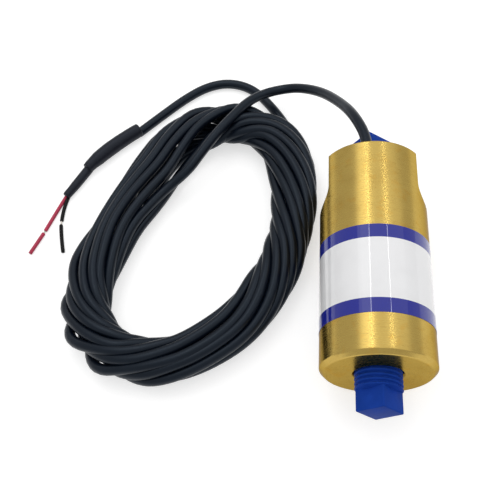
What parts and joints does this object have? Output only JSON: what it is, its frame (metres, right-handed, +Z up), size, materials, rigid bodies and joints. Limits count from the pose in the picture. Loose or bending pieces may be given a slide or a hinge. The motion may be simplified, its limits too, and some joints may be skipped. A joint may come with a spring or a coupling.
{
  "type": "in-line flow switch",
  "caption": "Round brass in-line piston flow switch with a threaded port in each end, wrench flats, a wrap-around label, shipping plugs and a coiled two-core cable.",
  "frame": {"origin": "on the surface the switch lies on, under the middle of the length between the two plug heads", "axes": "+Y along the bore from the inlet end to the cable end, +Z up, +X to the right seen from the inlet end"},
  "size_m": [0.1446, 0.1448, 0.035],
  "materials": {
    "brass": "turned",
    "label": "satin",
    "plug": "satin",
    "steel": "satin",
    "magnet": "dull",
    "piston": "satin",
    "glass": "clear",
    "epoxy": "gloss",
    "jacket": "satin",
    "sleeve": "satin",
    "red_pvc": "satin",
    "black_pvc": "satin",
    "copper": "tinned"
  },
  "bodies": {
    "switch": {"housing": "brass", "name_label": "label", "seat_ring": "brass", "retaining_ring": "steel", "reed_glass": "glass", "reed_blade_near": "steel", "reed_blade_far": "steel", "solder_sleeve_near": "copper", "solder_sleeve_far": "copper", "core_red": "red_pvc", "core_black": "black_pvc", "potting": "epoxy", "return_spring": "steel", "cable_lead": "jacket", "cable_coil": "jacket", "cable_tail": "jacket", "outer_sleeve": "sleeve", "inner_sleeve": "sleeve", "red_lead": "red_pvc", "red_conductor": "copper", "red_slug": "red_pvc", "black_lead": "black_pvc", "black_conductor": "copper", "black_slug": "black_pvc"},
    "shuttle": {"piston": "piston", "piston_magnet": "magnet", "magnet_retainer": "steel"},
    "near_plug_body": {"near_plug": "plug"},
    "far_plug_body": {"far_plug": "plug"}
  },
  "joints": [
    {"name": "piston_slide", "type": "slide", "parent": "switch", "child": "shuttle", "axis": [0, 1, 0], "range_m": [0, 0.008], "stiffness_N_per_m": 30, "springref_m": -0.003, "deforming": ["return_spring"]},
    {"name": "near_plug_slide", "type": "slide", "parent": "switch", "child": "near_plug_body", "axis": [0, -1, 0], "range_m": [0, 0.01]},
    {"name": "far_plug_slide", "type": "slide", "parent": "switch", "child": "far_plug_body", "axis": [0, 1, 0], "range_m": [0, 0.01]}
  ]
}
